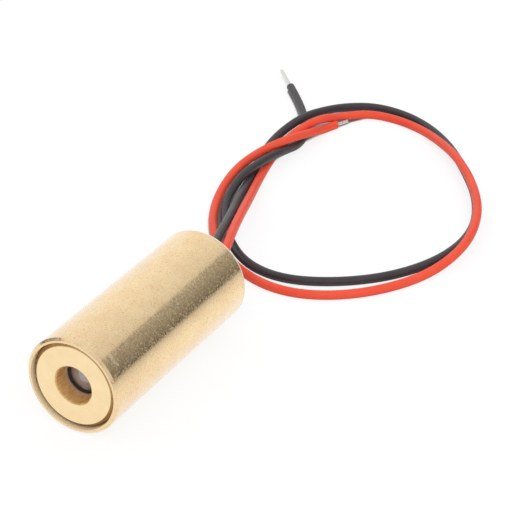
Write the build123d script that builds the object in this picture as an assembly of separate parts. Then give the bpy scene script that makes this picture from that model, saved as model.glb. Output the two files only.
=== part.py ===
"""Laser diode module: a turned brass barrel with a lens cap, lens, diode, driver board and two free leads.

Millimetres. The optical axis is Y and the beam leaves towards -Y. The origin is on the axis, in the plane of
the front rim. +Z is up, and the barrel lies on its side on the plane z = -BARREL_D / 2.
"""
import os
from math import pi, radians, sqrt, tan

from build123d import *

# Barrel
BARREL_D = 9.0
BARREL_L = 21.0
RIM_WALL = 0.4           # wall round the recess that takes the cap's head
LENS_WALL = 1.0          # wall round the screwed bore that takes the cap's skirt
REAR_WALL = 0.8          # wall round the driver board's room
RECESS_DEPTH = 2.0
EDGE_BREAK = 0.2

# Lens cap
CAP_SET_BACK = 0.22      # the cap's face behind the rim
CAP_GAP = 0.08           # between the cap's head and the recess, all round
CAP_EDGE = 0.35
CAP_SKIRT_OVER = 0.8     # skirt behind the lens's back
CAP_SKIRT_WALL = 0.45
THREAD_GAP = 0.05
APERTURE_D = 3.5
APERTURE_LAND = 1.4
APERTURE_EDGE = 0.1

# Collimating lens
LENS_T = 1.2
LENS_GAP = 0.05
LENS_COLLAR_D = 3.2      # inside of the collar round the front dome
LENS_DOME_D = 2.8
LENS_DOME_DEPTH = 0.35   # foot of the dome behind the collar's face
LENS_DOME_RISE = 0.45
LENS_BACK_RIM = 0.75     # flat ring round the back dome, where the spring presses
LENS_BACK_RISE = 0.35

# Focus spring
SPRING_WIRE = 0.3
SPRING_TURNS = 3
SPRING_INSET = 0.05      # outside of the coil inside the lens's rim

# Laser diode, a 5.6 mm stem with a welded can
HEADER_D = 5.6
HEADER_T = 1.2
HEADER_NOTCH = 0.4
CAN_D = 3.6
CAN_H = 2.3
CAN_WALL = 0.2
CAN_FLANGE_D = 4.4
CAN_GAP = 0.2            # between the can's flange and the web
CAN_OPENING_D = 1.6
WEB_LIP = 1.6            # lip of the web that the header is pressed against
WINDOW_D = 2.4
WINDOW_T = 0.25
POST_W = 1.1
POST_T = 0.9
POST_L = 1.5
SUBMOUNT = (0.7, 0.9, 0.2)
CHIP = (0.25, 0.35, 0.1)
PHOTODIODE = (0.8, 0.15, 0.8)
PIN_D = 0.45
PIN_CIRCLE_R = 1.0
PIN_HEAD = 0.5           # insulated pins inside the can
PIN_TAIL = 2.4           # pins behind the header
SEAL_RING_D = 0.9

# Driver board
BOARD_L = 6.6
BOARD_FRONT_GAP = 0.5
BOARD_REAR_GAP = 0.5
BOARD_SIDE_GAP = 0.3
BOARD_FIT = 0.02         # between the board and the pins on its two faces
TRANSISTOR = (2.9, 1.3, 1.0)
TRANSISTOR_LIFT = 0.1
TRANSISTOR_BEVEL = 0.1
TRANSISTOR_SPAN = 2.4
TRANSISTOR_PITCH = 0.95
TRANSISTOR_LEAD = (0.4, 0.12)
RESISTOR = (0.8, 1.6, 0.45)
CAPACITOR = (1.25, 2.0, 0.9)
CHIP_CAP_L = 0.3         # metal end of a chip part
CHIP_CAP_T = 0.03
CHIP_SPACE = 0.4         # between neighbours on the board
SOLDER_L = 1.3
SOLDER_D = 0.9
SOLDER_TAPER = 0.3       # sloping ends of a joint
SOLDER_LIP = 0.05        # solder left on the wire where the slope ends

# Rear seal
SEAL_T = 1.6
SEAL_SET_BACK = 0.6
SEAL_GAP = 0.02

# Leads
LEAD_D = 0.9
CORE_D = 0.38
LEAD_PITCH = 1.2
LEAD_INSIDE = 0.8        # insulation in front of the seal
LEAD_STRAIGHT = 2.0      # behind the barrel, before the first bend's corner
CORE_BARE = 1.6          # stripped length over the board
RED_TIP_L = 1.8
BLACK_TIP_L = 4.5
ARC_SHARE = 0.45         # share of the shorter run that an arc takes up

# Places that follow from the sizes
floor_z = -BARREL_D / 2
barrel_r = BARREL_D / 2
recess_r = barrel_r - RIM_WALL
lens_bore_r = barrel_r - LENS_WALL
rear_bore_r = barrel_r - REAR_WALL
skirt_r = lens_bore_r - THREAD_GAP
pocket_r = skirt_r - CAP_SKIRT_WALL
lens_r = pocket_r - LENS_GAP
lens_front_y = CAP_SET_BACK + APERTURE_LAND
lens_back_y = lens_front_y + LENS_T
seal_back_y = BARREL_L - SEAL_SET_BACK
seal_front_y = seal_back_y - SEAL_T
lead_start_y = seal_front_y - LEAD_INSIDE
board_back_y = lead_start_y - BOARD_REAR_GAP
board_front_y = board_back_y - BOARD_L
header_back_y = board_front_y - BOARD_FRONT_GAP
header_front_y = header_back_y - HEADER_T
can_front_y = header_front_y - CAN_H
web_front_y = header_front_y - WEB_LIP
spring_l = web_front_y - lens_back_y
board_top_z = -PIN_D / 2 - BOARD_FIT
board_bottom_z = -PIN_CIRCLE_R + PIN_D / 2 + BOARD_FIT
board_half_w = sqrt(rear_bore_r ** 2 - board_bottom_z ** 2) - BOARD_SIDE_GAP
parts_y = (header_back_y + PIN_TAIL + board_back_y - CORE_BARE) / 2
transistor_x = -(RESISTOR[0] + CHIP_SPACE) / 2
sense_resistor_x = (TRANSISTOR[0] + CHIP_SPACE) / 2
capacitor_x = -(RESISTOR[0] + CHIP_SPACE) / 2
bias_resistor_x = (CAPACITOR[0] + CHIP_SPACE) / 2

# Routes of the leads behind the barrel: x, y and height over the floor, chosen by hand from the photograph
RED_ROUTE = [
    (-1.2, 27.7, 4.35), (-3.3, 33.2, 3.4), (-5.5, 39.2, 2.1), (-7.8, 45.0, 0.9), (-9.5, 50.5, 0.45),
    (-9.75, 54.9, 1.2), (-8.55, 58.85, 1.75), (-8.0, 62.4, 0.7), (-5.6, 64.85, 0.45), (-2.2, 65.2, 0.45),
    (1.2, 64.3, 0.5), (4.4, 62.0, 0.95), (7.8, 58.8, 1.5), (11.6, 54.4, 1.5), (14.8, 49.0, 1.5),
    (16.2, 43.0, 1.15), (15.0, 37.2, 0.45), (11.8, 31.8, 0.45), (7.4, 28.45, 0.45), (2.7, 27.75, 0.45),
    (-2.4, 29.9, 0.45), (-7.1, 34.2, 0.45), (-10.1, 39.6, 0.5), (-10.95, 44.6, 1.5), (-10.4, 49.0, 1.9),
    (-8.75, 53.0, 2.0), (-8.0, 56.4, 1.4), (-7.9, 59.0, 0.6), (-7.3, 61.3, 0.5), (-6.45, 62.35, 0.45),
]
BLACK_ROUTE = [
    (-2.45, 27.7, 4.3), (-4.5, 33.4, 3.2), (-6.75, 38.9, 2.0), (-8.7, 44.4, 0.8), (-10.5, 49.6, 0.45),
    (-11.4, 54.5, 0.7), (-10.25, 58.4, 1.75), (-9.6, 62.2, 1.1), (-8.4, 65.4, 0.5), (-5.6, 67.1, 0.45),
    (-1.6, 66.8, 0.45), (2.2, 65.0, 0.45), (5.8, 62.0, 0.45), (9.4, 57.8, 0.45), (12.7, 53.2, 0.45),
    (15.1, 47.4, 0.45), (15.0, 41.4, 0.45), (12.6, 36.0, 0.45), (8.6, 32.05, 0.45), (3.6, 29.7, 0.45),
    (-1.0, 30.45, 0.45), (-5.2, 34.1, 0.45), (-8.4, 38.8, 0.6), (-9.3, 43.2, 1.7), (-8.8, 47.4, 1.9),
    (-8.6, 51.2, 1.3), (-8.5, 55.2, 0.45), (-9.9, 58.9, 0.45), (-12.9, 63.3, 0.45), (-16.2, 66.9, 0.45),
]


def turned(points):
    """A solid turned about the optical axis from (radius, y) points."""
    return revolve(make_face(Polyline(*points, close=True)), Axis.Y)


def rod(radius, y_front, y_back, x=0.0, z=0.0):
    """A round rod along the optical axis."""
    disc = Plane((x, y_front, z), x_dir=(1, 0, 0), z_dir=(0, 1, 0)) * Circle(radius)
    return extrude(disc, y_back - y_front)


def block(size, x, y, z):
    """A block of (x, y, z) size, centred in x and y, standing on height z."""
    return Pos(x, y, z + size[2] / 2) * Box(*size)


def barrel():
    """Outside with broken edges, then the rear room, the diode's seat, the lens bore and the recess."""
    return turned([
        (recess_r, 0), (barrel_r - EDGE_BREAK, 0), (barrel_r, EDGE_BREAK), (barrel_r, BARREL_L - EDGE_BREAK),
        (barrel_r - EDGE_BREAK, BARREL_L), (rear_bore_r + EDGE_BREAK, BARREL_L),
        (rear_bore_r, BARREL_L - EDGE_BREAK), (rear_bore_r, header_back_y), (HEADER_D / 2, header_back_y),
        (HEADER_D / 2, header_front_y), (CAN_FLANGE_D / 2 + CAN_GAP, header_front_y),
        (CAN_FLANGE_D / 2 + CAN_GAP, web_front_y), (lens_bore_r, web_front_y), (lens_bore_r, RECESS_DEPTH),
        (recess_r, RECESS_DEPTH),
    ])


def lens_cap():
    """Head with a bevelled rim and the aperture, on a skirt with the lens's pocket."""
    head_r = recess_r - CAP_GAP
    aperture_r = APERTURE_D / 2
    skirt_back_y = lens_back_y + CAP_SKIRT_OVER
    return turned([
        (aperture_r + APERTURE_EDGE, CAP_SET_BACK), (head_r - CAP_EDGE, CAP_SET_BACK),
        (head_r, CAP_SET_BACK + CAP_EDGE), (head_r, RECESS_DEPTH), (skirt_r, RECESS_DEPTH),
        (skirt_r, skirt_back_y), (pocket_r, skirt_back_y), (pocket_r, lens_front_y),
        (aperture_r, lens_front_y), (aperture_r, CAP_SET_BACK + APERTURE_EDGE),
    ])


def collimating_lens():
    """Flange with a collar, a domed front set back inside the collar, and a shallow dome at the back."""
    collar_r = LENS_COLLAR_D / 2
    dome_r = LENS_DOME_D / 2
    foot_y = lens_front_y + LENS_DOME_DEPTH
    apex_y = foot_y - LENS_DOME_RISE
    back_r = lens_r - LENS_BACK_RIM
    back_apex_y = lens_back_y + LENS_BACK_RISE
    rim = Polyline((dome_r, foot_y), (collar_r, foot_y), (collar_r, lens_front_y), (lens_r, lens_front_y),
                   (lens_r, lens_back_y), (back_r, lens_back_y))
    back = RadiusArc((back_r, lens_back_y), (0, back_apex_y), dome_radius(back_r, LENS_BACK_RISE))
    middle = Line((0, back_apex_y), (0, apex_y))
    front = RadiusArc((0, apex_y), (dome_r, foot_y), dome_radius(dome_r, LENS_DOME_RISE))
    return revolve(make_face([rim, back, middle, front]), Axis.Y)


def dome_radius(foot_r, rise):
    """Radius of a dome with this foot radius and rise, signed for an arc that bulges outwards."""
    return -(foot_r ** 2 + rise ** 2) / (2 * rise)


def focus_spring():
    """Open coil between the lens's flange and the web."""
    coil_r = lens_r - SPRING_INSET - SPRING_WIRE / 2
    start = (0, lens_back_y + SPRING_WIRE / 2, 0)
    rise = spring_l - SPRING_WIRE
    path = Helix(rise / SPRING_TURNS, rise, coil_r, center=start, direction=(0, 1, 0))
    return sweep(Plane(path @ 0, z_dir=path % 0) * Circle(SPRING_WIRE / 2), path, is_frenet=True)


def diode_header():
    """Stem with a notched rim, two holes for the insulated pins, and the heat-sink post on its face."""
    stem = rod(HEADER_D / 2, header_front_y, header_back_y)
    for x in (-PIN_CIRCLE_R, PIN_CIRCLE_R):
        stem -= rod(SEAL_RING_D / 2, header_front_y, header_back_y, x)
    notch = (HEADER_NOTCH, HEADER_T, HEADER_NOTCH)
    stem -= block(notch, 0, (header_front_y + header_back_y) / 2, HEADER_D / 2 - HEADER_NOTCH / 2)
    post_z = SUBMOUNT[2] + CHIP[2] / 2
    return stem + block((POST_W, POST_L, POST_T), 0, header_front_y - POST_L / 2, post_z)


def diode_can():
    """Drawn can with a welded flange and a round opening for the window."""
    outer_r = CAN_D / 2
    return turned([
        (CAN_OPENING_D / 2, can_front_y), (outer_r, can_front_y), (outer_r, header_front_y - CAN_WALL),
        (CAN_FLANGE_D / 2, header_front_y - CAN_WALL), (CAN_FLANGE_D / 2, header_front_y),
        (outer_r - CAN_WALL, header_front_y), (outer_r - CAN_WALL, can_front_y + CAN_WALL),
        (CAN_OPENING_D / 2, can_front_y + CAN_WALL),
    ])


def diode_window():
    """Glass disc fused behind the can's opening."""
    return rod(WINDOW_D / 2, can_front_y + CAN_WALL, can_front_y + CAN_WALL + WINDOW_T)


def chip_submount():
    """Carrier soldered under the post's face, level with the post's front end."""
    y = header_front_y - POST_L + SUBMOUNT[1] / 2
    return block(SUBMOUNT, 0, y, CHIP[2] / 2)


def laser_chip():
    """Emitting chip on the optical axis, at the submount's front edge."""
    y = header_front_y - POST_L + CHIP[1] / 2
    return block(CHIP, 0, y, -CHIP[2] / 2)


def monitor_photodiode():
    """Photodiode on the header's face, behind the chip."""
    y = header_front_y - PHOTODIODE[1] / 2
    return block(PHOTODIODE, 0, y, -PHOTODIODE[2] + CHIP[2] / 2)


def insulated_pin(x):
    """Straight pin through the header."""
    return rod(PIN_D / 2, header_front_y - PIN_HEAD, header_back_y + PIN_TAIL, x)


def common_pin():
    """Straight pin welded on the header's back."""
    return rod(PIN_D / 2, header_back_y, header_back_y + PIN_TAIL, 0, -PIN_CIRCLE_R)


def pin_seals():
    """Glass rings round the insulated pins."""
    def ring(x):
        hole = rod(PIN_D / 2, header_front_y, header_back_y, x)
        return rod(SEAL_RING_D / 2, header_front_y, header_back_y, x) - hole
    return Compound(children=[ring(x) for x in (-PIN_CIRCLE_R, PIN_CIRCLE_R)])


def driver_board():
    """Board slid between the insulated pins and the common pin."""
    size = (2 * board_half_w, BOARD_L, board_top_z - board_bottom_z)
    return block(size, 0, board_front_y + BOARD_L / 2, board_bottom_z)


def transistor_body():
    """Moulded body with a bevelled top."""
    body = block(TRANSISTOR, transistor_x, parts_y, board_top_z + TRANSISTOR_LIFT)
    return chamfer(body.edges().group_by(Axis.Z)[-1], TRANSISTOR_BEVEL)


def transistor_leads():
    """Three bent leads: two on one side and one on the other."""
    width, thick = TRANSISTOR_LEAD
    half_body = TRANSISTOR[1] / 2
    half_span = TRANSISTOR_SPAN / 2
    mid_z = TRANSISTOR[2] / 2 + TRANSISTOR_LIFT
    knee = half_body + (half_span - half_body) / 2
    section = make_face(Polyline((half_body, mid_z), (knee + thick / 2, mid_z), (knee + thick / 2, thick),
                                 (half_span, thick), (half_span, 0), (knee - thick / 2, 0),
                                 (knee - thick / 2, mid_z - thick), (half_body, mid_z - thick), close=True))

    def leg(x, side):
        base = Plane((transistor_x + x, parts_y, board_top_z), x_dir=(0, side, 0), z_dir=(side, 0, 0))
        return extrude(base * section, width / 2, both=True)
    return Compound(children=[leg(-TRANSISTOR_PITCH, -1), leg(TRANSISTOR_PITCH, -1), leg(0, 1)])


def chip_part(size, x, foot_z):
    """Chip resistor or capacitor: a ceramic block with slightly thicker metal ends."""
    width, length, height = size
    core = (width - 2 * CHIP_CAP_T, length - 2 * CHIP_CAP_T, height - 2 * CHIP_CAP_T)
    body = block(core, x, parts_y, foot_z + CHIP_CAP_T)
    for side in (-1, 1):
        y = parts_y + side * (length - CHIP_CAP_L) / 2
        body += block((width, CHIP_CAP_L, height), x, y, foot_z)
    return body


def solder_joint(x, y, wire_d, side):
    """Joint round a wire, tapered at both ends and cut flat on its pad."""
    wire_r = wire_d / 2
    full_r = SOLDER_D / 2
    half_l = SOLDER_L / 2
    sleeve = turned([(wire_r, -half_l), (wire_r + SOLDER_LIP, -half_l), (full_r, SOLDER_TAPER - half_l),
                     (full_r, half_l - SOLDER_TAPER), (wire_r + SOLDER_LIP, half_l), (wire_r, half_l)])
    over_pad = (SOLDER_D, SOLDER_L, SOLDER_D)
    pad_z = board_top_z if side > 0 else board_bottom_z - SOLDER_D
    return Pos(x, y, wire_z(side)) * sleeve & block(over_pad, x, y, pad_z)


def wire_z(side):
    """Height of a pin or a core on the board's top, or of the common pin under it."""
    return 0.0 if side > 0 else -PIN_CIRCLE_R


def pin_solder():
    """Joints of the two insulated pins on top of the board and of the common pin under it."""
    y = header_back_y + PIN_TAIL - SOLDER_L / 2
    top = [solder_joint(x, y, PIN_D, 1) for x in (-PIN_CIRCLE_R, PIN_CIRCLE_R)]
    return Compound(children=top + [solder_joint(0, y, PIN_D, -1)])


def lead_solder():
    """Joints of the two stripped leads on the board."""
    y = board_back_y - CORE_BARE / 2
    places = (-LEAD_PITCH / 2, LEAD_PITCH / 2)
    return Compound(children=[solder_joint(x, y, CORE_D, 1) for x in places])


def lead_core(x):
    """Stripped end of a lead, from its insulation to the board's pad."""
    return rod(CORE_D / 2, board_back_y - CORE_BARE, lead_start_y, x)


def rear_seal():
    """Cast plug with the two leads passing through it."""
    plug = rod(rear_bore_r - SEAL_GAP, seal_front_y, seal_back_y)
    for x in (-LEAD_PITCH / 2, LEAD_PITCH / 2):
        plug -= rod(LEAD_D / 2 + SEAL_GAP, seal_front_y, seal_back_y, x)
    return plug


def lead_points(x, route):
    """All points of a lead's route: its start inside, the corner behind the barrel, then the chosen ones."""
    inside = [(x, lead_start_y, 0), (x, BARREL_L + LEAD_STRAIGHT, 0)]
    return [Vector(*p) for p in inside + [(px, py, floor_z + h) for px, py, h in route]]


def lead(name, points):
    """Tube along straight runs joined by arcs as large as the runs allow."""
    runs = [b - a for a, b in zip(points, points[1:])]
    radii = []
    for before, after in zip(runs, runs[1:]):
        turn = radians(before.get_angle(after))
        radii.append(ARC_SHARE * min(before.length, after.length) / tan(turn / 2))
    path = FilletPolyline(*points, radius=radii)
    tube = sweep(Plane(path @ 0, z_dir=path % 0) * Circle(LEAD_D / 2), path)
    ratio = tube.volume / (pi * LEAD_D ** 2 / 4 * path.length)
    print(name, "length", round(path.length, 2), "volume ratio", round(ratio, 4))
    print("  radii", [round(r, 1) for r in radii])
    return tube


def tinned_end(points, length):
    """Bare twisted and tinned conductor, in line with the lead's last run."""
    along = points[-1] - points[-2]
    return extrude(Plane(points[-1], z_dir=along) * Circle(CORE_D / 2), length)


red_points = lead_points(LEAD_PITCH / 2, RED_ROUTE)
black_points = lead_points(-LEAD_PITCH / 2, BLACK_ROUTE)

nodes = {
    "barrel": barrel(),
    "lens_cap": lens_cap(),
    "collimating_lens": collimating_lens(),
    "focus_spring": focus_spring(),
    "diode_header": diode_header(),
    "diode_can": diode_can(),
    "diode_window": diode_window(),
    "chip_submount": chip_submount(),
    "laser_chip": laser_chip(),
    "monitor_photodiode": monitor_photodiode(),
    "anode_pin": insulated_pin(-PIN_CIRCLE_R),
    "monitor_pin": insulated_pin(PIN_CIRCLE_R),
    "common_pin": common_pin(),
    "pin_seals": pin_seals(),
    "driver_board": driver_board(),
    "transistor_body": transistor_body(),
    "transistor_leads": transistor_leads(),
    "sense_resistor": chip_part(RESISTOR, sense_resistor_x, board_top_z),
    "bias_resistor": chip_part(RESISTOR, bias_resistor_x, board_bottom_z - RESISTOR[2]),
    "filter_capacitor": chip_part(CAPACITOR, capacitor_x, board_bottom_z - CAPACITOR[2]),
    "pin_solder": pin_solder(),
    "lead_solder": lead_solder(),
    "red_core": lead_core(LEAD_PITCH / 2),
    "black_core": lead_core(-LEAD_PITCH / 2),
    "rear_seal": rear_seal(),
    "red_lead": lead("red_lead", red_points),
    "black_lead": lead("black_lead", black_points),
    "red_tinned_end": tinned_end(red_points, RED_TIP_L),
    "black_tinned_end": tinned_end(black_points, BLACK_TIP_L),
}

os.makedirs("parts", exist_ok=True)
for name, shape in nodes.items():
    export_step(shape, f"parts/{name}.step")
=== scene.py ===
import math

import bpy
from mathutils import Matrix, Vector


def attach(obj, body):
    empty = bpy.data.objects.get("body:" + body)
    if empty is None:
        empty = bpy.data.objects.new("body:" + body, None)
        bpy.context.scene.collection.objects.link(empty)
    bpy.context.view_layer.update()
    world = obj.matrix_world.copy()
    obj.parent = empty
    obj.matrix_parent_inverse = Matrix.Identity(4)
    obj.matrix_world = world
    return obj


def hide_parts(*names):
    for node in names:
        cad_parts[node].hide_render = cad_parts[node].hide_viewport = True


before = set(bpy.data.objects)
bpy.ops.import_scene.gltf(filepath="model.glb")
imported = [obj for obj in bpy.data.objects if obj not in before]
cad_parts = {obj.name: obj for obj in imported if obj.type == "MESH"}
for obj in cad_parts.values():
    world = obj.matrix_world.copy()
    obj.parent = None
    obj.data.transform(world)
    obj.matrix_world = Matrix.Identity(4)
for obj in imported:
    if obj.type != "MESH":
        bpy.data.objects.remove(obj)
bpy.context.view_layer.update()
bpy.context.scene.view_settings.view_transform = "Standard"


# Camera
# A long lens looks down on the module from its front and its right side. Its place comes from the
# rims and the sides of the barrel as the photograph shows them.
eye = bpy.data.cameras.new("camera")
eye.lens = 143.25
eye.sensor_width = 36.0
eye.clip_start = 0.01
camera = bpy.data.objects.new("camera", eye)
camera.matrix_world = Matrix((
    (0.8688, -0.2482, 0.4285, 0.08246),
    (0.4952, 0.4355, -0.7518, -0.11400),
    (0.0, 0.8653, 0.5012, 0.093496),
    (0.0, 0.0, 0.0, 1.0)))
bpy.context.collection.objects.link(camera)
bpy.context.scene.camera = camera


# Leads
# Two lengths of hook-up wire, red for the supply and black for the return: PVC extruded over thin
# stranded copper. They come out of the cast seal side by side, cross in a loose knot and lie in a loop.
LEAD_D = 0.0009
LEAD_SIDE = 0.0006       # middle of each lead beside the module's axis, where it leaves the seal
RED_LENGTH = 0.1458
BLACK_LENGTH = 0.1524
FLOOR = -0.0045          # the barrel lies on it
MM_IN_METRE = 1000.0


def put(tree, kind, settings, feeds):
    """Adds a node. A feed that is another node's output is linked, and any other is set as a value."""
    node = tree.nodes.new(kind)
    for key, value in settings.items():
        setattr(node, key, value)
    for key, value in feeds.items():
        if isinstance(value, bpy.types.NodeSocket):
            tree.links.new(value, node.inputs[key])
        else:
            node.inputs[key].default_value = value
    return node


def reckon(tree, operation, *terms, clamp=False):
    """The result of a sum on numbers and other nodes' outputs."""
    settings = {"operation": operation, "use_clamp": clamp}
    return put(tree, "ShaderNodeMath", settings, dict(enumerate(terms))).outputs[0]


def ramp(tree, value, start, stop, low, high, smooth=False):
    """A number that goes from low to high as the value goes from start to stop, and stays there beyond."""
    settings = {"interpolation_type": "SMOOTHSTEP" if smooth else "LINEAR"}
    return put(tree, "ShaderNodeMapRange", settings, {
        "Value": value, "From Min": start, "From Max": stop, "To Min": low, "To Max": high}).outputs["Result"]


def between(tree, factor, low, high):
    """A number that goes from low to high as the factor goes from 0.3 to 0.7, where noise mostly lies."""
    return ramp(tree, factor, 0.3, 0.7, low, high)


def tones(tree, factor, first, second):
    """A colour from the first to the second by a factor from 0 to 1; each is a tone or a node's output."""
    feeds = {"Factor": factor}
    for socket, colour in ((6, first), (7, second)):
        feeds[socket] = (*colour, 1.0) if isinstance(colour, tuple) else colour
    return put(tree, "ShaderNodeMix", {"data_type": "RGBA"}, feeds).outputs[2]


def shared_effect(name, takes, gives):
    """An empty node group with these number inputs and outputs, for an effect that several finishes use."""
    group = bpy.data.node_groups.new(name, "ShaderNodeTree")
    for label, value in takes.items():
        group.interface.new_socket(label, in_out="INPUT", socket_type="NodeSocketFloat").default_value = value
    for label in gives:
        group.interface.new_socket(label, in_out="OUTPUT", socket_type="NodeSocketFloat")
    return group, group.nodes.new("NodeGroupInput").outputs, group.nodes.new("NodeGroupOutput").inputs


def add_effect(tree, group, values):
    """The outputs of a shared effect in a finish, with the finish's own values."""
    return put(tree, "ShaderNodeGroup", {"node_tree": group}, values).outputs


# the grain of a surface: broad patches of tone and a fine grain, each of a size in millimetres
grain, taken, given = shared_effect("grain", {"Patch mm": 3.0, "Grain mm": 0.1}, ["Patch", "Grain"])
place = grain.nodes.new("ShaderNodeTexCoord").outputs["Object"]
for label, detail in (("Patch", 3.0), ("Grain", 2.0)):
    per_metre = reckon(grain, "DIVIDE", MM_IN_METRE, taken[label + " mm"])
    noise = put(grain, "ShaderNodeTexNoise", {}, {"Vector": place, "Scale": per_metre, "Detail": detail})
    grain.links.new(noise.outputs["Fac"], given[label])


def new_finish(name, patch, fine):
    """A material with its shader and the grain effect at these two sizes in millimetres."""
    finish = bpy.data.materials.new(name)
    finish.use_nodes = True
    tree = finish.node_tree
    return finish, tree, tree.nodes["Principled BSDF"], add_effect(
        tree, grain, {"Patch mm": patch, "Grain mm": fine})


def raise_by(tree, shader, height, depth):
    """Bump of this depth in metres on a shader."""
    bump = put(tree, "ShaderNodeBump", {}, {"Height": height, "Distance": depth, "Strength": 1.0})
    tree.links.new(bump.outputs["Normal"], shader.inputs["Normal"])


def pvc(name, dark, pale, roughness, gloss):
    """Extruded PVC: almost even in colour, satin, with the faint unevenness of the die."""
    finish, tree, shader, effect = new_finish(name, 2.2, 0.16)
    shader.inputs["Specular IOR Level"].default_value = gloss
    colour = tones(tree, between(tree, effect["Patch"], 0.0, 1.0), dark, pale)
    tree.links.new(colour, shader.inputs["Base Color"])
    tree.links.new(between(tree, effect["Patch"], *roughness), shader.inputs["Roughness"])
    raise_by(tree, shader, effect["Grain"], 0.000006)
    return finish


def lay_lead(name, route, finish):
    """A round lead on a smooth line that the route's points pull into shape, with heights above the floor."""
    line = bpy.data.curves.new(name, "CURVE")
    line.dimensions = "3D"
    spline = line.splines.new("NURBS")
    spline.points.add(len(route) - 1)
    for point, (x, y, height) in zip(spline.points, route):
        point.co = (x, y, FLOOR + height, 1.0)
    spline.order_u = 3
    spline.use_endpoint_u = True
    spline.resolution_u = 10
    line.bevel_depth = LEAD_D / 2
    line.bevel_resolution = 6
    line.use_fill_caps = True
    line.materials.append(finish)
    lead = bpy.data.objects.new(name, line)
    bpy.context.collection.objects.link(lead)
    return lead


red_pvc = pvc("red_pvc", (0.87, 0.080, 0.037), (0.94, 0.104, 0.050), (0.41, 0.51), 0.30)
black_pvc = pvc("black_pvc", (0.036, 0.031, 0.035), (0.052, 0.045, 0.051), (0.37, 0.47), 0.45)

red_route = [
    (0.0006, 0.0180, 0.0045), (0.0006, 0.0230, 0.0045), (-0.00125, 0.0277, 0.00435),
    (-0.00342, 0.0332, 0.0034), (-0.00566, 0.0392, 0.0021), (-0.00793, 0.0450, 0.0009),
    (-0.00958, 0.0505, 0.00045), (-0.00975, 0.0549, 0.0012), (-0.00855, 0.05885, 0.00175),
    (-0.00796, 0.0623, 0.00068), (-0.0056, 0.0652, 0.00045), (-0.0022, 0.0654, 0.00045),
    (0.0012, 0.0644, 0.0005), (0.0044, 0.0620, 0.00095), (0.0078, 0.0588, 0.0015),
    (0.0116, 0.0544, 0.0015), (0.0148, 0.0490, 0.0015), (0.0162, 0.0430, 0.00115),
    (0.0150, 0.0372, 0.00045), (0.0118, 0.0318, 0.00045), (0.0074, 0.02845, 0.00045),
    (0.0027, 0.02775, 0.00045), (-0.0024, 0.0299, 0.00045), (-0.0070, 0.0342, 0.00045),
    (-0.00985, 0.0396, 0.0005), (-0.01062, 0.0446, 0.0015), (-0.01008, 0.0490, 0.00188),
    (-0.0086, 0.0530, 0.00206), (-0.00795, 0.0564, 0.0014), (-0.00787, 0.05885, 0.00065),
    (-0.0077, 0.06015, 0.0005), (-0.0074, 0.0610, 0.00045)]
black_route = [
    (-0.0006, 0.0180, 0.0045), (-0.0006, 0.0230, 0.0045), (-0.00242, 0.0277, 0.0043),
    (-0.00446, 0.0334, 0.0032), (-0.0067, 0.0389, 0.0020), (-0.00866, 0.0444, 0.0008),
    (-0.01048, 0.0496, 0.00045), (-0.0114, 0.0545, 0.0007), (-0.01025, 0.0584, 0.00175),
    (-0.0096, 0.0622, 0.0011), (-0.0084, 0.0654, 0.0005), (-0.0056, 0.0671, 0.00045),
    (-0.0016, 0.0668, 0.00045), (0.0022, 0.0650, 0.00045), (0.0058, 0.0620, 0.00045),
    (0.0094, 0.0578, 0.00045), (0.0127, 0.0532, 0.00045), (0.0151, 0.0474, 0.00045),
    (0.0150, 0.0414, 0.00045), (0.0126, 0.0360, 0.00045), (0.0086, 0.03205, 0.00045),
    (0.0036, 0.0297, 0.00045), (-0.0010, 0.03045, 0.00045), (-0.0052, 0.0341, 0.00045),
    (-0.00834, 0.0388, 0.0006), (-0.00922, 0.0432, 0.00172), (-0.00875, 0.0474, 0.00192),
    (-0.0086, 0.0512, 0.0013), (-0.0085, 0.0552, 0.00045), (-0.0099, 0.0589, 0.00045),
    (-0.0129, 0.0633, 0.00045), (-0.0162, 0.0669, 0.00045)]
red_lead = lay_lead("red_insulation", red_route, red_pvc)
black_lead = lay_lead("black_insulation", black_route, black_pvc)


# Tinned ends of the leads
# The last millimetres are stripped: seven copper strands, twisted together and dipped in solder, so the
# lay of the outer six still shows as a slow spiral and the tip is a rounded bead.
STRANDS_D = 0.00038
STRAND_LAY = 0.0026      # length in which a strand goes once round
OUTER_STRANDS = 6
STRAND_GROOVE = 0.16     # depth of the grooves between the strands, as a share of the radius
BEAD_L = 0.00019
RED_BARE = 0.0018
BLACK_BARE = 0.0045


def plain_finish(name, patch, fine, dark, pale, roughness, depth, metal=0.0, rough_by="Patch"):
    """A finish of two tones in patches, with a range of roughness and a bump of this depth from the grain."""
    finish, tree, shader, effect = new_finish(name, patch, fine)
    shader.inputs["Metallic"].default_value = metal
    tree.links.new(tones(tree, effect["Patch"], dark, pale), shader.inputs["Base Color"])
    tree.links.new(between(tree, effect[rough_by], *roughness), shader.inputs["Roughness"])
    raise_by(tree, shader, effect["Grain"], depth)
    return finish, shader


tin, _ = plain_finish(
    "tin", 0.5, 0.03, (0.66, 0.65, 0.63), (0.90, 0.89, 0.87), (0.22, 0.42), 0.000003, metal=1.0)


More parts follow.
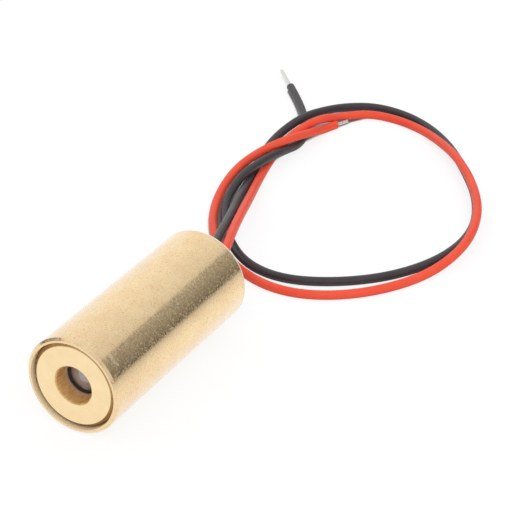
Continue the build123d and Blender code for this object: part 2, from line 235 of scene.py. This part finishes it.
def twist_end(name, route, length):
    """The twisted strands that go on straight from the last run of a lead's route."""
    before, start = (Vector((x, y, FLOOR + height)) for x, y, height in route[-2:])
    along = (start - before).normalized()
    side = along.cross(Vector((0, 0, 1))).normalized()
    up = side.cross(along)
    rings, sides = 64, 48
    points, faces = [], []
    for i in range(rings + 1):
        run = length * i / rings
        bead = math.sqrt(max(0.0, 1.0 - max(0.0, (run - length + BEAD_L) / BEAD_L) ** 2))
        for k in range(sides):
            turn = 2 * math.pi * k / sides
            lobe = abs(math.cos(OUTER_STRANDS / 2 * (turn - 2 * math.pi * run / STRAND_LAY)))
            radius = STRANDS_D / 2 * (1.0 - STRAND_GROOVE + STRAND_GROOVE * lobe) * max(bead, 0.02)
            points.append(start + along * run + (side * math.cos(turn) + up * math.sin(turn)) * radius)
    for i in range(rings):
        for k in range(sides):
            a, b = i * sides + k, i * sides + (k + 1) % sides
            faces.append((a, b, b + sides, a + sides))
    faces.append(tuple(range(sides - 1, -1, -1)))
    faces.append(tuple(range(rings * sides, (rings + 1) * sides)))
    mesh = bpy.data.meshes.new(name)
    mesh.from_pydata(points, [], faces)
    mesh.shade_smooth()
    mesh.materials.append(tin)
    end = bpy.data.objects.new(name, mesh)
    bpy.context.collection.objects.link(end)
    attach(end, "root")
    return end


red_end = twist_end("red_strands", red_route, RED_BARE)
black_end = twist_end("black_strands", black_route, BLACK_BARE)
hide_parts("red_tinned_end")
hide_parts("black_tinned_end")

for lead, end, node, slot, x, length in (
        (red_lead, red_end, "red_lead", "red_pvc", LEAD_SIDE, RED_LENGTH),
        (black_lead, black_end, "black_lead", "black_pvc", -LEAD_SIDE, BLACK_LENGTH)):
    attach(lead, "root")
    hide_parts(node)


# Barrel
# A length of brass bar turned to 9 mm, bored from both ends and parted off. The tool has left fine rings,
# tumbling has left a dull grit over them, and handling has added specks and a few bright scratches.
RECESS_R_MM = 4.12       # all that lies nearer to the axis is bored
RINGED_TO_MM = 9.0       # the tool's rings show from the front to here and fade out on the way
RINGS_FADE_MM = 7.0
# The broken rear edge within these limits is painted pale: a painted highlight along the edge.
REAR_EDGE_MM = 20.72     # the broken edge at the rear starts here along the barrel,
REAR_EDGE_R_MM = 4.42    # and here out from the axis


def dress(finish, *nodes):
    """Gives solids of the frame their finish."""
    for node in nodes:
        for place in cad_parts[node].material_slots:
            place.material = finish


def place_on(tree):
    """A point of the surface, its coordinates, the same point seen along the axis, and its radius."""
    place = tree.nodes.new("ShaderNodeTexCoord").outputs["Object"]
    spot = put(tree, "ShaderNodeSeparateXYZ", {}, {0: place}).outputs
    flat = put(tree, "ShaderNodeCombineXYZ", {}, {"X": spot["X"], "Z": spot["Z"]}).outputs[0]
    radius = put(tree, "ShaderNodeVectorMath", {"operation": "LENGTH"}, {0: flat}).outputs["Value"]
    return place, spot, flat, radius


# rings that a turning tool leaves: bands across the axis on a round side, circles on a face
rings, taken, given = shared_effect("tool_rings", {"Pitch mm": 0.1}, ["Rings"])
_, spot, _, radius = place_on(rings)
run = reckon(rings, "ADD", radius, spot["Y"])
per_metre = reckon(rings, "DIVIDE", MM_IN_METRE, taken["Pitch mm"])
noise = put(rings, "ShaderNodeTexNoise", {"noise_dimensions": "1D"}, {
    "W": run, "Scale": per_metre, "Detail": 3.0})
rings.links.new(noise.outputs["Fac"], given["Rings"])

# specks that sit in pores of the brass, a few of them dark
specks, taken, given = shared_effect("specks", {"Apart mm": 1.6, "Size": 0.06}, ["Specks"])
place = specks.nodes.new("ShaderNodeTexCoord").outputs["Object"]
per_metre = reckon(specks, "DIVIDE", MM_IN_METRE, taken["Apart mm"])
cells = put(specks, "ShaderNodeTexVoronoi", {}, {"Vector": place, "Scale": per_metre}).outputs
within = reckon(specks, "LESS_THAN", cells["Distance"], taken["Size"])
chosen = put(specks, "ShaderNodeSeparateColor", {}, {0: cells["Color"]}).outputs["Red"]
some = reckon(specks, "GREATER_THAN", chosen, 0.72)
specks.links.new(reckon(specks, "MULTIPLY", within, some), given["Specks"])

# a band of the surface, told from the rest by a distance: 1 below the limit, fading to 0 over the soft edge
band, taken, given = shared_effect("band", {"Distance": 0.0, "Limit mm": 1.0, "Edge mm": 0.05}, ["Inside"])
reach = reckon(band, "MULTIPLY", taken["Distance"], MM_IN_METRE)
spare = reckon(band, "SUBTRACT", taken["Limit mm"], reach)
band.links.new(reckon(band, "DIVIDE", spare, taken["Edge mm"], clamp=True), given["Inside"])


def inside(tree, distance, limit, edge):
    """The mask of a band in a finish, with its limit and its soft edge in millimetres."""
    return add_effect(tree, band, {"Distance": distance, "Limit mm": limit, "Edge mm": edge})["Inside"]


# a scratch round the barrel: how far along it lies, how wide it is, and the angles that it runs between
scratch, taken, given = shared_effect(
    "scratch", {"Along mm": 1.0, "Width mm": 0.1, "Middle": 0.7, "Half": 0.2}, ["Scratch"])
_, spot, _, _ = place_on(scratch)
angle = reckon(scratch, "ARCTAN2", spot["Z"], spot["X"])
off = reckon(scratch, "ABSOLUTE", reckon(scratch, "SUBTRACT", angle, taken["Middle"]))
spare = reckon(scratch, "SUBTRACT", taken["Half"], off)
ends = reckon(scratch, "MULTIPLY", spare, 20.0, clamp=True)
along = reckon(scratch, "MULTIPLY", spot["Y"], MM_IN_METRE)
away = reckon(scratch, "ABSOLUTE", reckon(scratch, "SUBTRACT", along, taken["Along mm"]))
share = reckon(scratch, "DIVIDE", away, taken["Width mm"])
core = reckon(scratch, "MULTIPLY_ADD", share, -2.0, 1.6, clamp=True)
scratch.links.new(reckon(scratch, "MULTIPLY", core, ends), given["Scratch"])

brass, tree, shader, effect = new_finish("brass", 1.6, 0.17)
_, spot, _, radius = place_on(tree)
tool = add_effect(tree, rings, {"Pitch mm": 0.20})["Rings"]
speck = add_effect(tree, specks, {"Apart mm": 1.3, "Size": 0.05})["Specks"]
bored = inside(tree, radius, RECESS_R_MM, 0.01)
front = inside(tree, spot["Y"], RINGED_TO_MM, RINGS_FADE_MM)
not_edge = reckon(tree, "MAXIMUM", inside(tree, spot["Y"], REAR_EDGE_MM, 0.05),
                  inside(tree, radius, REAR_EDGE_R_MM, 0.04))
wide = add_effect(tree, scratch, {"Along mm": 1.34, "Width mm": 0.32, "Middle": 0.72, "Half": 0.17})
thin = add_effect(tree, scratch, {"Along mm": 7.24, "Width mm": 0.06, "Middle": 0.66, "Half": 0.11})
scored = reckon(tree, "MAXIMUM", wide["Scratch"], thin["Scratch"])
scored = reckon(tree, "MULTIPLY", scored, between(tree, effect["Grain"], 0.5, 0.9))
ringed = reckon(tree, "MULTIPLY", between(tree, tool, 0.0, 0.30), front)
pitted = ramp(tree, effect["Grain"], 0.26, 0.48, 0.68, 0.0)
# Painted sheen: the colour turns towards white where the surface is seen edge-on.
grazing_sheen = ramp(tree, tree.nodes.new("ShaderNodeLayerWeight").outputs["Facing"], 0.55, 0.92, 0.0, 0.36)

body = tones(tree, between(tree, effect["Patch"], 0.0, 1.0), (0.935, 0.692, 0.405), (0.990, 0.772, 0.458))
for factor, tone in (
        (ringed, (0.76, 0.53, 0.32)), (pitted, (0.62, 0.42, 0.23)), (speck, (0.40, 0.27, 0.15)),
        (scored, (0.97, 0.84, 0.60)), (grazing_sheen, (1.0, 0.98, 0.95))):
    body = tones(tree, factor, body, tone)
# Painted highlight: the broken rear edge is painted pale, and is also made only partly metallic and rougher,
# so that it shows as a bright line.
body = tones(tree, not_edge, (1.0, 0.93, 0.82), body)
# Painted light: the bored recess wall is painted pale, and is also made less metallic and rougher, so that it
# looks lit.
body = tones(tree, bored, body, (1.0, 0.87, 0.62))
tree.links.new(body, shader.inputs["Base Color"])

bare = ramp(tree, not_edge, 0.0, 1.0, 0.35, 1.0)
bare = reckon(tree, "MULTIPLY_ADD", bored, -0.6, bare)
tree.links.new(bare, shader.inputs["Metallic"])

worn = ramp(tree, effect["Grain"], 0.47, 0.72, 0.09, 0.58)
for mask, change in ((scored, 0.4), (bored, 0.36), (not_edge, -0.3)):
    worn = reckon(tree, "MULTIPLY_ADD", mask, change, worn)
worn = reckon(tree, "ADD", worn, 0.3)
tree.links.new(worn, shader.inputs["Roughness"])
raise_by(tree, shader, reckon(tree, "MULTIPLY_ADD", tool, 0.12, effect["Grain"]), 0.000003)
dress(brass, "barrel")


# Lens cap
# A brass disc with the beam aperture bored through it and a screwed skirt behind, faced on the lathe and
# left matt. It screws into the front of the barrel until it sits just behind the rim.
APERTURE_R_MM = 1.87     # just outside the aperture's broken edge
FACE_R_MM = 3.70         # the face as far as its bevelled rim
BORING_MARKS = (5000.0, 1400.0, 5000.0)  # marks of the boring tool for each metre, drawn out along the bore

cap_brass, tree, shader, effect = new_finish("cap_brass", 1.1, 0.06)
place, _, _, radius = place_on(tree)
tool = add_effect(tree, rings, {"Pitch mm": 0.06})["Rings"]
drilled = inside(tree, radius, APERTURE_R_MM, 0.03)
face = inside(tree, radius, FACE_R_MM, 0.03)
drawn_out = put(tree, "ShaderNodeVectorMath", {"operation": "MULTIPLY"}, {
    0: place, 1: BORING_MARKS}).outputs[0]
marks = put(tree, "ShaderNodeTexNoise", {}, {"Vector": drawn_out, "Scale": 1.0, "Detail": 2.0}).outputs["Fac"]
faced = tones(tree, between(tree, effect["Patch"], 0.0, 1.0), (0.955, 0.727, 0.422), (1.0, 0.787, 0.472))
# Painted light: the bore wall's deeper, redder brass stands in for light bounced round the bore; the boring
# marks in it are real. The wall is also less metallic and rougher, so that it takes up light.
wall = tones(tree, between(tree, marks, 0.0, 1.0), (0.70, 0.41, 0.15), (0.94, 0.62, 0.27))
skin = tones(tree, drilled, faced, wall)
# Painted shade: beyond the face, the bevelled rim is painted dark brown, for the shade in the gap round the
# cap.
skin = tones(tree, face, (0.60, 0.40, 0.20), skin)
tree.links.new(skin, shader.inputs["Base Color"])
tree.links.new(ramp(tree, drilled, 0.0, 1.0, 1.0, 0.45), shader.inputs["Metallic"])
worn = reckon(tree, "MULTIPLY_ADD", drilled, 0.36, between(tree, effect["Grain"], 0.25, 0.35))
tree.links.new(worn, shader.inputs["Roughness"])
raise_by(tree, shader, reckon(tree, "MULTIPLY_ADD", tool, 0.6, effect["Grain"]), 0.000002)
dress(cap_brass, "lens_cap")


# Collimating lens
# A clear acrylic moulding: a dome sunk in a flat collar, with painted shade in the groove round the dome's
# foot and a painted highlight low on the dome. It drops into the cap's skirt from behind.
DOME_R_MM = 1.42
GROOVE_R_MM = 1.61
GROOVE_FROM_MM = 1.78    # along the module; the collar's face lies in front of it
GLEAM_SPREAD = (2400.0, 0.0, 8000.0)     # the gleam is wide and low,
GLEAM_MIDDLE = (-0.12, 0.0, 9.6)         # and lies 1.2 mm under the axis

acrylic, tree, shader, effect = new_finish("acrylic", 1.0, 0.05)
shader.inputs["Transmission Weight"].default_value = 0.25
shader.inputs["Metallic"].default_value = 0.25
shader.inputs["IOR"].default_value = 1.49
_, spot, flat, radius = place_on(tree)
dome = inside(tree, radius, DOME_R_MM, 0.08)
# Painted shade: the groove round the dome's foot is painted near black, apart from its front part at the
# collar.
groove = inside(tree, radius, GROOVE_R_MM, 0.01)
groove = reckon(tree, "SUBTRACT", groove, inside(tree, spot["Y"], GROOVE_FROM_MM, 0.05), clamp=True)
# Painted highlight: the base colour goes to white in a wide patch low on the dome.
low = put(tree, "ShaderNodeVectorMath", {"operation": "MULTIPLY_ADD"}, {
    0: flat, 1: GLEAM_SPREAD, 2: GLEAM_MIDDLE}).outputs[0]
low = put(tree, "ShaderNodeVectorMath", {"operation": "LENGTH"}, {0: low}).outputs["Value"]
gleam = ramp(tree, low, 0.5, 1.1, 1.0, 0.0)
clear = tones(tree, effect["Patch"], (0.49, 0.455, 0.46), (0.59, 0.545, 0.56))
clear = tones(tree, gleam, clear, (1.0, 1.0, 1.0))
sunk = tones(tree, groove, (0.66, 0.55, 0.49), (0.13, 0.09, 0.07))
tree.links.new(tones(tree, dome, sunk, clear), shader.inputs["Base Color"])
tree.links.new(between(tree, effect["Patch"], 0.10, 0.18), shader.inputs["Roughness"])
raise_by(tree, shader, effect["Grain"], 0.0000004)
dress(acrylic, "collimating_lens")


# Focus spring
# Three turns of drawn spring wire, wound open. They press the lens forward into the skirt and hold it there
# at whatever depth the cap is screwed to.
spring_steel, _ = plain_finish(
    "spring_steel", 0.8, 0.03, (0.44, 0.44, 0.45), (0.66, 0.66, 0.66), (0.24, 0.38), 0.000001, metal=1.0)
dress(spring_steel, "focus_spring")


# Laser diode
# A gold-plated steel header with its heat-sink post and three pins, two of them in fused glass. The chip
# sits on a ceramic carrier on the post, over a monitor chip, under a nickel-plated can with a glass window.
gold_plate, _ = plain_finish(
    "gold_plate", 0.6, 0.03, (0.82, 0.58, 0.24), (0.95, 0.72, 0.34), (0.20, 0.34), 0.000001, metal=1.0)
dress(gold_plate, "diode_header", "anode_pin", "monitor_pin", "common_pin")

nickel_plate, _ = plain_finish(
    "nickel_plate", 0.9, 0.04, (0.52, 0.50, 0.46), (0.70, 0.68, 0.63), (0.18, 0.32), 0.000001, metal=1.0)
dress(nickel_plate, "diode_can")

window_glass, shader = plain_finish(
    "window_glass", 0.5, 0.02, (0.88, 0.90, 0.90), (0.97, 0.98, 0.98), (0.01, 0.05), 0.0000002)
shader.inputs["Transmission Weight"].default_value = 1.0
shader.inputs["IOR"].default_value = 1.52
dress(window_glass, "diode_window")

white_ceramic, _ = plain_finish(
    "white_ceramic", 0.2, 0.015, (0.62, 0.60, 0.55), (0.78, 0.77, 0.73), (0.45, 0.65), 0.000002,
    rough_by="Grain")
dress(white_ceramic, "chip_submount")

semiconductor, _ = plain_finish(
    "semiconductor", 0.12, 0.01, (0.03, 0.03, 0.05), (0.09, 0.09, 0.13), (0.12, 0.24), 0.0000002, metal=0.6)
dress(semiconductor, "laser_chip", "monitor_photodiode")

seal_glass, _ = plain_finish(
    "seal_glass", 0.25, 0.02, (0.04, 0.06, 0.07), (0.10, 0.13, 0.15), (0.10, 0.22), 0.000001)
dress(seal_glass, "pin_seals")


# Driver board
# A slip of glass-epoxy board in green solder resist, slid between the diode's pins. It carries a moulded
# transistor with tinned legs, two chip resistors and a chip capacitor; pins and leads are soldered on.
board_green, _ = plain_finish(
    "board_green", 0.8, 0.06, (0.006, 0.075, 0.022), (0.014, 0.120, 0.038), (0.24, 0.42), 0.000004,
    rough_by="Grain")
dress(board_green, "driver_board")

mould_black, _ = plain_finish(
    "mould_black", 0.5, 0.03, (0.010, 0.010, 0.011), (0.022, 0.022, 0.023), (0.5, 0.7), 0.000004,
    rough_by="Grain")
dress(mould_black, "transistor_body")

resistor_black, _ = plain_finish(
    "resistor_black", 0.3, 0.02, (0.014, 0.014, 0.016), (0.035, 0.035, 0.038), (0.2, 0.36), 0.000002)
dress(resistor_black, "sense_resistor", "bias_resistor")

capacitor_tan, _ = plain_finish(
    "capacitor_tan", 0.25, 0.02, (0.26, 0.15, 0.075), (0.40, 0.25, 0.14), (0.4, 0.6), 0.000002,
    rough_by="Grain")
dress(capacitor_tan, "filter_capacitor")

copper, _ = plain_finish(
    "copper", 0.4, 0.04, (0.66, 0.30, 0.17), (0.88, 0.46, 0.29), (0.22, 0.38), 0.000003, metal=1.0)
dress(copper, "red_core", "black_core")
dress(tin, "transistor_leads", "pin_solder", "lead_solder")


# Rear seal
# Black epoxy, cast into the rear bore round the two leads, which it holds. It sets with a soft, slightly
# uneven skin and fine dust in it.
epoxy, tree, shader, effect = new_finish("epoxy", 1.3, 0.09)
colour = tones(tree, effect["Patch"], (0.008, 0.008, 0.008), (0.024, 0.023, 0.022))
tree.links.new(colour, shader.inputs["Base Color"])
tree.links.new(between(tree, effect["Patch"], 0.22, 0.44), shader.inputs["Roughness"])
raise_by(tree, shader, reckon(tree, "MULTIPLY_ADD", effect["Patch"], 9.0, effect["Grain"]), 0.000008)
dress(epoxy, "rear_seal")


# Studio
# White paper under the module, which goes into shade far off on its right, and white all round it apart
# from two dark screens, behind its right side and across from that, which the brass shows as bands along
# the barrel. One soft lamp stands in front.
PAPER_HALF = 2.0
LOOP_MIDDLE = (0.021, 0.050, FLOOR)      # the knot lies outside an arc round this point of the floor
LOOP_R = 0.0303
LEADS_FROM = 0.022       # the floor behind the barrel, where the leads come down to it, starts here
CREVICE_REACH = 0.004
SCREEN_WAY = (0.616, 0.788, 0.0)
LAMP_PLACE = (0.20, -0.16, 0.30)
LAMP_AIM = (0.0, 0.03, 0.0)


def where(tree, mask, outside, within):
    """A number that is one or the other by a mask from 0 to 1."""
    return put(tree, "ShaderNodeMix", {}, {"Factor": mask, 2: outside, 3: within}).outputs[0]


paper = bpy.data.meshes.new("floor")
paper.from_pydata([(-PAPER_HALF, -PAPER_HALF, FLOOR), (PAPER_HALF, -PAPER_HALF, FLOOR),
                   (PAPER_HALF, PAPER_HALF, FLOOR), (-PAPER_HALF, PAPER_HALF, FLOOR)], [], [(0, 1, 2, 3)])
floor = bpy.data.objects.new("floor", paper)
bpy.context.collection.objects.link(floor)
white = bpy.data.materials.new("white_paper")
white.use_nodes = True
tree = white.node_tree
tree.nodes.clear()
rays = tree.nodes.new("ShaderNodeLightPath").outputs
seen, mirrored = rays["Is Camera Ray"], rays["Is Glossy Ray"]
shown = reckon(tree, "MAXIMUM", reckon(tree, "MAXIMUM", seen, mirrored), rays["Is Transmission Ray"])
tone = tones(tree, shown, (0.8, 0.8, 0.8), (0.20, 0.20, 0.20))
lit = put(tree, "ShaderNodeBsdfDiffuse", {}, {"Color": tone}).outputs[0]

# the paper as polished metal shows it: in shade on the right
place = tree.nodes.new("ShaderNodeTexCoord").outputs["Object"]
spot = put(tree, "ShaderNodeSeparateXYZ", {}, {0: place}).outputs
near = ramp(tree, spot["X"], 0.010, 0.030, 1.0, 0.74)
far = ramp(tree, spot["X"], 0.030, 0.130, 1.0, 0.34)
shade = where(tree, mirrored, 1.0, reckon(tree, "MULTIPLY", near, far))
level = reckon(tree, "MULTIPLY", reckon(tree, "MULTIPLY", shown, 0.82), shade)

# the paper with painted shade: darker in the crevices of the knot as the camera sees it, and darker where
# the leads touch it as their own gloss shows it
open_to = put(tree, "ShaderNodeAmbientOcclusion", {"samples": 12}, {"Distance": CREVICE_REACH}).outputs["AO"]
from_arc = put(tree, "ShaderNodeVectorMath", {"operation": "DISTANCE"}, {
    0: place, 1: LOOP_MIDDLE}).outputs["Value"]
behind = ramp(tree, spot["Y"], LEADS_FROM, LEADS_FROM + 0.008, 0.0, 1.0)
at_knot = reckon(tree, "MULTIPLY", ramp(tree, from_arc, LOOP_R, LOOP_R + 0.0004, 0.0, 1.0), behind)
at_knot = reckon(tree, "MULTIPLY", at_knot, seen)
crevice_shade = where(tree, at_knot, 1.0, ramp(tree, open_to, 0.44, 0.58, 0.06, 1.0))
touched = reckon(tree, "MULTIPLY", behind, mirrored)
contact_shade = where(tree, touched, 1.0, ramp(tree, open_to, 0.20, 0.80, 0.20, 1.0))
level = reckon(tree, "MULTIPLY", reckon(tree, "MULTIPLY", level, crevice_shade), contact_shade)
glow = put(tree, "ShaderNodeEmission", {}, {"Color": (1.0, 1.0, 1.0, 1.0), "Strength": level}).outputs[0]
both = put(tree, "ShaderNodeAddShader", {}, {0: lit, 1: glow}).outputs[0]
put(tree, "ShaderNodeOutputMaterial", {}, {"Surface": both})
paper.materials.append(white)

world = bpy.data.worlds.new("studio")
bpy.context.scene.world = world
world.use_nodes = True
tree = world.node_tree
tree.nodes.clear()
way = tree.nodes.new("ShaderNodeTexCoord").outputs["Generated"]
seen = tree.nodes.new("ShaderNodeLightPath").outputs["Is Camera Ray"]
axes = put(tree, "ShaderNodeSeparateXYZ", {}, {0: way}).outputs
facing = put(tree, "ShaderNodeVectorMath", {"operation": "DOT_PRODUCT"}, {
    0: way, 1: SCREEN_WAY}).outputs["Value"]
sides = ramp(tree, reckon(tree, "ABSOLUTE", facing), 0.55, 0.68, 0.0, 1.0, smooth=True)
top = ramp(tree, axes["Z"], 0.54, 0.572, 1.0, 0.0, smooth=True)
on_screen = reckon(tree, "MULTIPLY", sides, top)
open_side = ramp(tree, axes["X"], -0.66, 0.66, 1.0, 0.76)
screen = ramp(tree, axes["Z"], 0.0, 0.5, 0.165, 0.40)
level = where(tree, seen, where(tree, on_screen, open_side, screen), 1.0)
sky = put(tree, "ShaderNodeBackground", {}, {"Color": (1.0, 1.0, 1.0, 1.0), "Strength": level}).outputs[0]
put(tree, "ShaderNodeOutputWorld", {}, {"Surface": sky})

lamp = bpy.data.lights.new("soft_lamp", "AREA")
lamp.shape = "SQUARE"
lamp.size = 0.30
lamp.energy = 0.52
soft_lamp = bpy.data.objects.new("soft_lamp", lamp)
soft_lamp.location = LAMP_PLACE
soft_lamp.rotation_euler = (Vector(LAMP_AIM) - soft_lamp.location).to_track_quat("-Z", "Y").to_euler()
soft_lamp.visible_glossy = False
bpy.context.collection.objects.link(soft_lamp)


bpy.context.view_layer.update()
